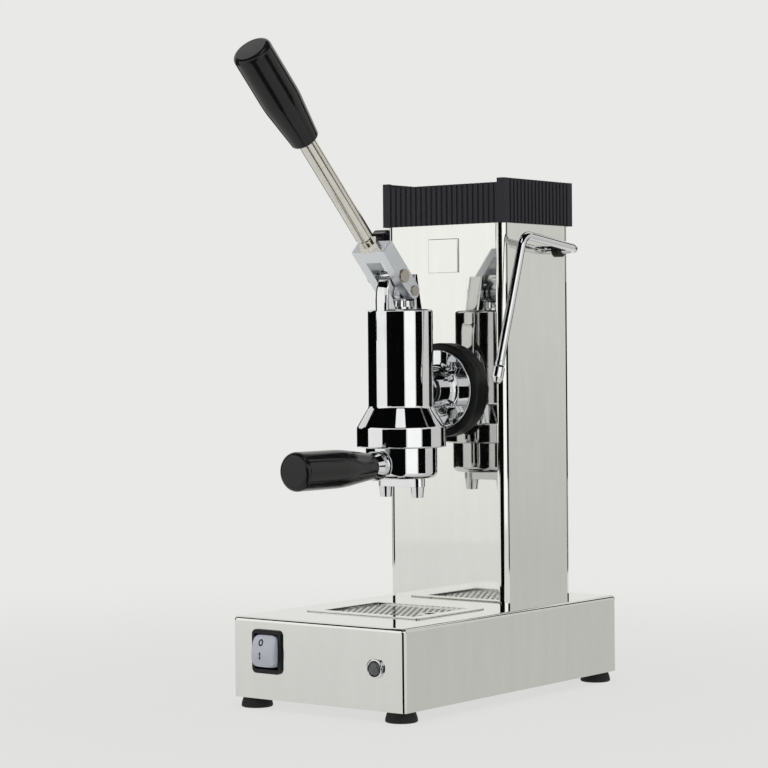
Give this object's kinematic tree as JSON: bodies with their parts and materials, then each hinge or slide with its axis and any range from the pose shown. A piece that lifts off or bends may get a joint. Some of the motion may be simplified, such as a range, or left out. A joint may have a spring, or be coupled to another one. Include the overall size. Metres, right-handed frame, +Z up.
{
  "type": "lever espresso machine",
  "caption": "Upright lever espresso machine: folded steel base and column, chromed spring-lever group with a portafilter, steam wand, drip tray and ribbed cup tray.",
  "frame": {"origin": "on the table, under the upright axis of the group", "axes": "+X to the right seen from the front, +Y to the back, +Z up"},
  "size_m": [0.2045, 0.4501, 0.6073],
  "materials": {
    "polished_steel": "mirror polished",
    "satin_steel": "satin",
    "chrome": "polished chrome plate",
    "zinc_steel": "plain zinc plated",
    "black_phenolic": "gloss black",
    "charcoal_plastic": "matte charcoal",
    "black_plastic": "matte black",
    "grey_plastic": "light grey",
    "lamp_plastic": "grey, unlit",
    "black_rubber": "matte black",
    "brass": "plain"
  },
  "bodies": {
    "machine": {"base_shell": "polished_steel", "base_plate": "zinc_steel", "foot_front_left": "black_rubber", "foot_front_right": "black_rubber", "foot_rear_left": "black_rubber", "foot_rear_right": "black_rubber", "foot_screws": "zinc_steel", "column_shell": "polished_steel", "column_screws": "zinc_steel", "rear_cover": "polished_steel", "rear_cover_screws": "zinc_steel", "front_plate": "chrome", "boiler": "brass", "cap_seal": "black_rubber", "heating_element": "zinc_steel", "element_gasket": "black_rubber", "element_bolts": "zinc_steel", "safety_valve": "brass", "pressurestat": "black_plastic", "pressurestat_pipe": "brass", "steam_valve": "brass", "wand_nut": "black_phenolic", "steam_pipe": "brass", "group_body": "chrome", "insulating_ring": "black_phenolic", "flange_bolts": "chrome", "rod_bush": "brass", "shower_screen": "satin_steel", "group_gasket": "black_rubber", "fulcrum_pin": "chrome", "switch_housing": "black_plastic", "lamp_housing": "chrome", "lamp_lens": "lamp_plastic", "mains_inlet": "black_plastic", "inlet_screws": "zinc_steel", "internal_wires": "black_rubber"},
    "cup_tray": {"cup_tray": "charcoal_plastic"},
    "drip_tray": {"drip_tray": "polished_steel"},
    "drip_grid": {"drip_grid": "satin_steel"},
    "boiler_cap": {"boiler_cap": "black_phenolic"},
    "steam_knob": {"steam_knob": "black_phenolic", "steam_spindle": "brass"},
    "steam_wand": {"steam_wand": "satin_steel", "wand_nozzle": "chrome"},
    "piston": {"piston": "brass", "piston_seals": "black_rubber", "piston_rod": "satin_steel", "main_spring": "zinc_steel"},
    "lever": {"lever_fork": "satin_steel", "rod_pin": "chrome", "lock_nut": "satin_steel", "lever_rod": "satin_steel", "lever_handle": "black_phenolic"},
    "portafilter": {"portafilter_cup": "chrome", "filter_basket": "satin_steel", "portafilter_ferrule": "chrome", "portafilter_handle": "black_phenolic", "double_spout": "chrome"},
    "switch_rocker": {"switch_rocker": "grey_plastic"}
  },
  "joints": [
    {"name": "lever_pull", "type": "hinge", "parent": "machine", "child": "lever", "pos_m": [0, -0.0185, 0.4005], "axis": [1, 0, 0], "range_deg": [0, 80], "stiffness_Nm_per_rad": 8, "springref_deg": -17.19},
    {"name": "piston_slide", "type": "slide", "parent": "machine", "child": "piston", "axis": [0, 0, 1], "range_m": [0, 0.02695], "deforming": ["main_spring"]},
    {"name": "portafilter_turn", "type": "hinge", "parent": "machine", "child": "portafilter", "pos_m": [0, 0, 0.245], "axis": [0, 0, 1], "range_deg": [-45, 0]},
    {"name": "steam_knob_turn", "type": "hinge", "parent": "machine", "child": "steam_knob", "pos_m": [-0.09, 0.09801, 0.437], "axis": [-1, 0, 0], "range_deg": [0, 540]},
    {"name": "steam_wand_swing", "type": "hinge", "parent": "machine", "child": "steam_wand", "pos_m": [0.075, 0.1653, 0.4282], "axis": [1, 0, 0], "range_deg": [-30, 60]},
    {"name": "cup_tray_lift", "type": "slide", "parent": "machine", "child": "cup_tray", "axis": [0, 0, 1], "range_m": [0, 0.08]},
    {"name": "boiler_cap_turn", "type": "hinge", "parent": "machine", "child": "boiler_cap", "pos_m": [0, 0.128, 0.43], "axis": [0, 0, 1], "range_deg": [0, 540]},
    {"name": "drip_tray_lift", "type": "slide", "parent": "machine", "child": "drip_tray", "axis": [0, 0, 1], "range_m": [0, 0.05]},
    {"name": "drip_grid_lift", "type": "slide", "parent": "drip_tray", "child": "drip_grid", "axis": [0, 0, 1], "range_m": [0, 0.03]},
    {"name": "switch_rock", "type": "hinge", "parent": "machine", "child": "switch_rocker", "pos_m": [-0.058, -0.1275, 0.0543], "axis": [1, 0, 0], "range_deg": [0, 16]}
  ],
  "couplings": [
    {"joint": "piston_slide", "follows": "lever_pull", "m_per_rad": 0.019294}
  ]
}
